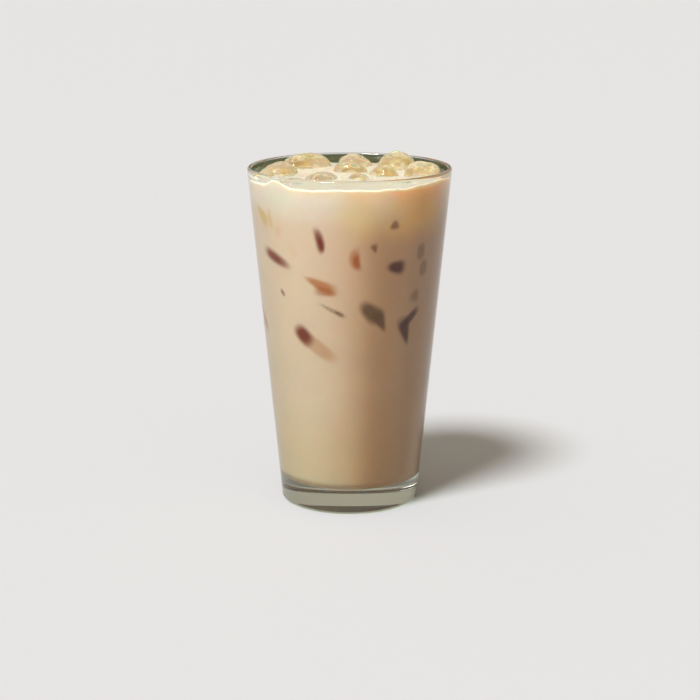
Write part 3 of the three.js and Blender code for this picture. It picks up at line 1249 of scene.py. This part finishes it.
@dataclass
class FrothBeads:
    """Small bubbles that gather on the drink along the glass and the ice.

    Attributes:
        finish: What they are made of.
        drink: The drink that they float on.
        density: How many there are to a square metre where they are thickest.
        smallest: Radius of the smallest.
        largest: Radius of the largest.
        seed: What their places and sizes are drawn from.
    """

    finish: FrothBubble
    drink: Drink
    density: float = 9.0e5
    smallest: float = 0.10
    largest: float = 0.34
    seed: int = 11

    def floating_tree(self) -> bpy.types.GeometryNodeTree:
        """Makes the node tree that scatters bubbles where the drink's bubbling attribute says.

        Returns:
            A tree with inputs for the surface, the density, both radii and the seed.
        """
        tree = bpy.data.node_groups.new("floating_bubbles", "GeometryNodeTree")
        sockets = tree.interface
        sockets.new_socket("Surface", in_out="INPUT", socket_type="NodeSocketGeometry")
        for name in ("Density", "Smallest", "Largest"):
            sockets.new_socket(name, in_out="INPUT", socket_type="NodeSocketFloat")
        sockets.new_socket("Seed", in_out="INPUT", socket_type="NodeSocketInt")
        sockets.new_socket("Bubbles", in_out="OUTPUT", socket_type="NodeSocketGeometry")
        given = add_node(tree, "NodeGroupInput").outputs
        share = add_node(tree, "GeometryNodeInputNamedAttribute", {"Name": "bubbling"}, data_type="FLOAT")
        thick = add_node(
            tree,
            "ShaderNodeMath",
            {0: share.outputs["Attribute"], 1: given["Density"]},
            operation="MULTIPLY",
        )
        spots = add_node(
            tree,
            "GeometryNodeDistributePointsOnFaces",
            {"Mesh": given["Surface"], "Density": thick.outputs["Value"], "Seed": given["Seed"]},
            distribute_method="RANDOM",
        )
        bubble = add_node(tree, "GeometryNodeMeshIcoSphere", {"Radius": 1.0, "Subdivisions": 2})
        radius = add_node(
            tree,
            "FunctionNodeRandomValue",
            {2: given["Smallest"], 3: given["Largest"], 8: given["Seed"]},
            data_type="FLOAT",
        )
        placed = add_node(
            tree,
            "GeometryNodeInstanceOnPoints",
            {
                "Points": spots.outputs["Points"],
                "Instance": bubble.outputs["Mesh"],
                "Scale": radius.outputs[1],
            },
        )
        real = add_node(tree, "GeometryNodeRealizeInstances", {"Geometry": placed.outputs["Instances"]})
        smooth = add_node(tree, "GeometryNodeSetShadeSmooth", {"Geometry": real.outputs["Geometry"]})
        dressed = add_node(
            tree,
            "GeometryNodeSetMaterial",
            {"Geometry": smooth.outputs["Geometry"], "Material": self.finish.material()},
        )
        add_node(tree, "NodeGroupOutput", {"Bubbles": dressed.outputs["Geometry"]})
        return tree

    def build(self, drink_piece: bpy.types.Object) -> bpy.types.Object:
        """Scatters the bubbles over the drink.

        Args:
            drink_piece: The finished drink.

        Returns:
            The bubbles as one plain mesh.
        """
        surface = drink_piece.data.copy()
        x, y, z = vertices_of(surface).T
        normals = np.empty(len(x) * 3)
        surface.vertices.foreach_get("normal", normals)
        clear_of_wall = self.drink.glass.inner_radius(z) - np.hypot(x, y) > 2 * self.largest
        upright = normals.reshape(-1, 3)[:, 2] > 0.6
        open_top = clear_of_wall & upright & (z > self.drink.level - self.drink.froth_depth)
        paint(surface, "bubbling", "FLOAT", open_top * smoothstep(0.25, 1.0, self.drink.nearness(x, y)))
        piece = place_mesh("froth_bubbles", surface)
        floating = piece.modifiers.new("floating", "NODES")
        floating.node_group = self.floating_tree()
        values = {
            "Density": self.density,
            "Smallest": self.smallest * MM,
            "Largest": self.largest * MM,
            "Seed": self.seed,
        }
        for socket in floating.node_group.interface.items_tree:
            if socket.name in values:
                floating[socket.identifier] = values[socket.name]
        freeze(piece)
        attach(piece, "root")
        return piece


@dataclass
class StudioLamp:
    """A large soft lamp, far enough away to light the whole floor evenly.

    Attributes:
        name: Its name.
        towards: The direction from the glass to it.
        strength: How much light falls on a surface that faces it.
        spread: How wide it looks from the glass, in degrees.
        colour: Its colour.
    """

    name: str
    towards: tuple[float, float, float]
    strength: float
    spread: float
    colour: str = "#FFFFFF"

    def build(self) -> None:
        """Hangs the lamp, facing the glass."""
        lamp = bpy.data.lights.new(self.name, "SUN")
        lamp.angle = math.radians(self.spread)
        lamp.energy = self.strength
        lamp.color = linear(self.colour)[:3]
        piece = bpy.data.objects.new(self.name, lamp)
        piece.rotation_euler = Vector(self.towards).to_track_quat("Z", "Y").to_euler()
        bpy.context.scene.collection.objects.link(piece)


@dataclass
class Studio:
    """The pale floor, the soft light and the camera.

    Attributes:
        floor_colour: Colour of the floor.
        floor_reach: How far the floor goes from the glass, in metres.
        air: Colour of the light from all round.
        air_strength: Strength of that light.
        camera_back: How far in front of the glass's axis the camera stands.
        camera_side: How far right of the axis it stands.
        camera_height: How high it stands.
        camera_pitch: How far it looks down, in degrees.
        lens: Its focal length.
        lamps: The lamps that light the glass.
    """

    floor_colour: str = "#C4C6CA"
    floor_reach: float = 14.0
    air: str = "#EBDDC8"
    air_strength: float = 0.56
    camera_back: float = 813.4
    camera_side: float = 0.17
    camera_height: float = 268.3
    camera_pitch: float = 13.911
    lens: float = 97.05
    lamps: list[StudioLamp] = field(
        default_factory=lambda: [
            StudioLamp("key", (-0.306, -0.405, 0.861), 3.6, 15.0),
        ]
    )

    def build_floor(self) -> None:
        """Lays the floor."""
        material, tree = new_material("matt_pale_paper")
        paper = add_node(
            tree,
            "ShaderNodeBsdfPrincipled",
            {"Base Color": linear(self.floor_colour), "Roughness": 0.9, "Specular IOR Level": 0.1},
        )
        add_node(tree, "ShaderNodeOutputMaterial", {"Surface": paper.outputs["BSDF"]})
        mesh = bpy.data.meshes.new("floor")
        reach = self.floor_reach
        corners = [(-reach, -reach, 0.0), (reach, -reach, 0.0), (reach, reach, 0.0), (-reach, reach, 0.0)]
        mesh.from_pydata(corners, [], [(0, 1, 2, 3)])
        mesh.materials.append(material)
        place_mesh("floor", mesh)

    def build_air(self) -> None:
        """Fills the room with soft light."""
        world = bpy.data.worlds.new("studio_air")
        world.use_nodes = True
        background = world.node_tree.nodes["Background"]
        background.inputs["Color"].default_value = linear(self.air)
        background.inputs["Strength"].default_value = self.air_strength
        bpy.context.scene.world = world

    def build_camera(self) -> None:
        """Places the camera where the photo was taken from."""
        camera = bpy.data.cameras.new("camera")
        camera.sensor_width = 36.0
        camera.lens = self.lens
        camera.clip_start = 0.01
        camera.clip_end = 60.0
        piece = bpy.data.objects.new("camera", camera)
        piece.location = (self.camera_side * MM, -self.camera_back * MM, self.camera_height * MM)
        piece.rotation_euler = (math.radians(90 - self.camera_pitch), 0.0, 0.0)
        bpy.context.scene.collection.objects.link(piece)
        bpy.context.scene.camera = piece

    def build(self) -> None:
        """Sets up the whole studio."""
        self.build_camera()
        self.build_floor()
        self.build_air()
        for lamp in self.lamps:
            lamp.build()
        bpy.context.scene.view_settings.view_transform = "Standard"


def melting_cubes() -> list[IceCube]:
    """The cubes that stand out of the drink, from left to right round the back and then the front."""
    return [
        IceCube("ice_left", (-31.0, 1.2), 18, 1.6, 1),
        IceCube("ice_back_left", (-19.2, 21.4), 24, 1.7, 2),
        IceCube("ice_back", (1.9, 26.3), 16.5, 1.6, 3),
        IceCube("ice_back_right", (20.1, 20.4), 19, 1.8, 4),
        IceCube("ice_right", (31.2, -1.2), 16, 1.7, 5),
        IceCube("ice_centre", (0.7, 9.4), 17, 1.3, 6),
        IceCube("ice_middle", (14.9, 0.3), 12, 1.1, 7),
        IceCube("ice_centre_left", (-11.2, -9.0), 18, 0.9, 8),
        IceCube("ice_centre_right", (4.4, -7.0), 10, 0.7, 9),
        IceCube("ice_front_left", (-23.9, -22.7), 14, 0.8, 10),
        IceCube("ice_front_right", (20.4, -21.6), 17, 0.7, 11),
    ]


def main() -> None:
    """Builds the studio, the glass, the drink, its bubbles and the ice, in that order."""
    logging.basicConfig(level=logging.INFO, format="%(asctime)s %(name)s: %(message)s")
    Studio().build()
    tumbler = Tumbler(TemperedGlass())
    glass = tumbler.build()
    cubes = melting_cubes()
    drink = Drink(MilkyTea(), tumbler, cubes)
    tumbler.dress(glass, drink.level)
    LOG.info("%s: %d faces", glass.name, len(glass.data.polygons))
    latte = drink.build()
    drink.dress(latte)
    LOG.info("%s: %d faces", latte.name, len(latte.data.polygons))
    bubbles = FrothBeads(FrothBubble(), drink).build(latte)
    LOG.info("%s: %d faces", bubbles.name, len(bubbles.data.polygons))
    ice = MilkFilmedIce(level=drink.level).material()
    for cube in cubes:
        piece = cube.build(f"melting_{cube.node}", grow=0.0, levels=2)
        piece.data.materials.append(ice)
        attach(piece, "root")
        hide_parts(cube.node)
        LOG.info("%s: %d faces", piece.name, len(piece.data.polygons))


if __name__ == "__main__":
    main()
